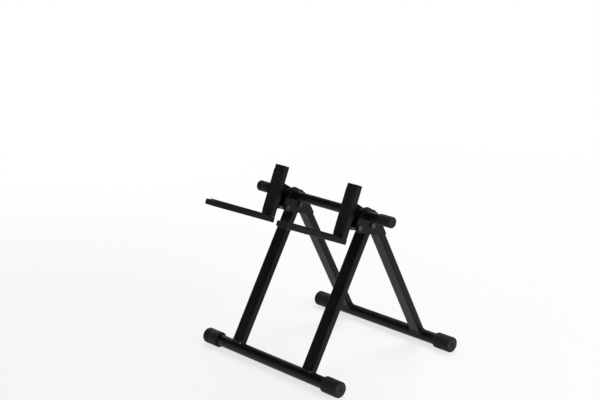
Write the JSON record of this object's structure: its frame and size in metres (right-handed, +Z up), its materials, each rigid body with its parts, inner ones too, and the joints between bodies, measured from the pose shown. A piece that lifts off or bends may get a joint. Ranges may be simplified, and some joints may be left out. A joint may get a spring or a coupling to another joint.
{
  "type": "folding tilt-back equipment stand",
  "caption": "Low folding floor stand with two hinged tubular frames and a tilted L-shaped cradle that holds a boxy cabinet leaning back.",
  "frame": {"origin": "on the floor, under the middle of the stand's outline", "axes": "+Z up, +Y towards the back where the load leans, +X to the right of someone who stands behind the open side of the rails and looks along +Y"},
  "size_m": [0.526, 0.5336, 0.5059],
  "materials": {
    "black_powder_coat": "satin black powder coat on welded steel tube and plate",
    "black_rubber": "matt black moulded rubber",
    "black_plastic": "fine-grained black moulded plastic",
    "blackened_steel": "blackened zinc-plated steel hardware",
    "black_nylon": "smooth black moulded nylon"
  },
  "bodies": {
    "rear_frame": {"cheek_left_inner": "black_powder_coat", "cheek_left_outer": "black_powder_coat", "cheek_right_inner": "black_powder_coat", "cheek_right_outer": "black_powder_coat", "cradle_bush_left_inner": "black_nylon", "cradle_bush_left_outer": "black_nylon", "cradle_bush_right_inner": "black_nylon", "cradle_bush_right_outer": "black_nylon", "hinge_bolt_left": "blackened_steel", "hinge_bolt_right": "blackened_steel", "hinge_nut_left": "blackened_steel", "hinge_nut_right": "blackened_steel", "rear_foot_cap_left": "black_rubber", "rear_foot_cap_right": "black_rubber", "rear_foot_tube": "black_powder_coat", "rear_leg_left": "black_powder_coat", "rear_leg_plug_left": "black_plastic", "rear_leg_plug_right": "black_plastic", "rear_leg_right": "black_powder_coat", "stop_bolt_left": "blackened_steel", "stop_bolt_right": "blackened_steel", "stop_nut_left": "blackened_steel", "stop_nut_right": "blackened_steel", "stop_spacer_left": "blackened_steel", "stop_spacer_right": "blackened_steel"},
    "front_frame": {"front_foot_cap_left": "black_rubber", "front_foot_cap_right": "black_rubber", "front_foot_tube": "black_powder_coat", "front_leg_left": "black_powder_coat", "front_leg_right": "black_powder_coat", "hinge_sleeve_left": "blackened_steel", "hinge_sleeve_right": "blackened_steel"},
    "cradle": {"cradle_cap_left": "black_rubber", "cradle_cap_right": "black_rubber", "cradle_tube": "black_powder_coat", "ear_left": "black_powder_coat", "ear_right": "black_powder_coat", "post_left": "black_powder_coat", "post_pad_left": "black_rubber", "post_pad_right": "black_rubber", "post_plug_left": "black_plastic", "post_plug_right": "black_plastic", "post_right": "black_powder_coat", "rail_left": "black_powder_coat", "rail_pad_left": "black_rubber", "rail_pad_right": "black_rubber", "rail_plug_left_back": "black_plastic", "rail_plug_left_front": "black_plastic", "rail_plug_right_back": "black_plastic", "rail_plug_right_front": "black_plastic", "rail_right": "black_powder_coat"}
  },
  "joints": [
    {"name": "front_frame_fold", "type": "hinge", "parent": "rear_frame", "child": "front_frame", "pos_m": [0, 0.03357, 0.38745], "axis": [1, 0, 0], "range_deg": [0, 54.7]},
    {"name": "cradle_fold", "type": "hinge", "parent": "rear_frame", "child": "cradle", "pos_m": [0, 0.01176, 0.41954], "axis": [-1, 0, 0], "range_deg": [0, 39.6]}
  ]
}
